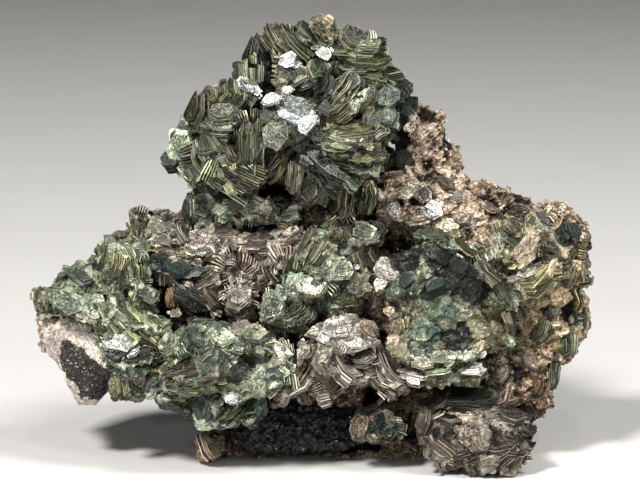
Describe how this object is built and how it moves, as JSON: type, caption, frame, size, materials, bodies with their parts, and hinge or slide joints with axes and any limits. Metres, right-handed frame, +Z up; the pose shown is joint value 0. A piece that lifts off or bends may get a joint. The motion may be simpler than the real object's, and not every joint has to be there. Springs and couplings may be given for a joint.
{
  "type": "mineral specimen",
  "caption": "Natural mineral specimen: rough rock matrix carrying clusters of stacked, hexagonal green-grey mica books, standing upright on a flat underside.",
  "frame": {"origin": "on the flat underside that the specimen rests on, below the middle of the rock", "axes": "+X to the right as seen from the front, along the specimen's length; +Y away from the viewer, through its thickness; +Z up"},
  "size_m": [0.1003, 0.0526, 0.08],
  "materials": {
    "greisen_rock": "rough, granular",
    "crown_mica": "pearly, layered",
    "pale_mica": "frosted, layered",
    "brown_mica": "satin, layered",
    "cream_mica": "frosted, layered",
    "green_mica": "pearly, layered",
    "silver_mica": "silvery, layered",
    "dark_mica": "glossy, layered",
    "olive_mica": "satin, layered",
    "taupe_mica": "satin, layered",
    "black_mineral": "granular, with a dull sheen"
  },
  "bodies": {
    "root": {"matrix": "greisen_rock", "crown_cluster": "crown_mica", "shelf_cluster": "pale_mica", "brown_fans": "brown_mica", "shoulder_cluster": "cream_mica", "left_cluster": "green_mica", "front_cluster": "green_mica", "centre_cluster": "green_mica", "grey_books": "silver_mica", "great_book": "dark_mica", "right_cluster": "olive_mica", "foot_stack": "taupe_mica", "low_knob": "olive_mica", "dark_crust": "black_mineral"}
  },
  "joints": []
}
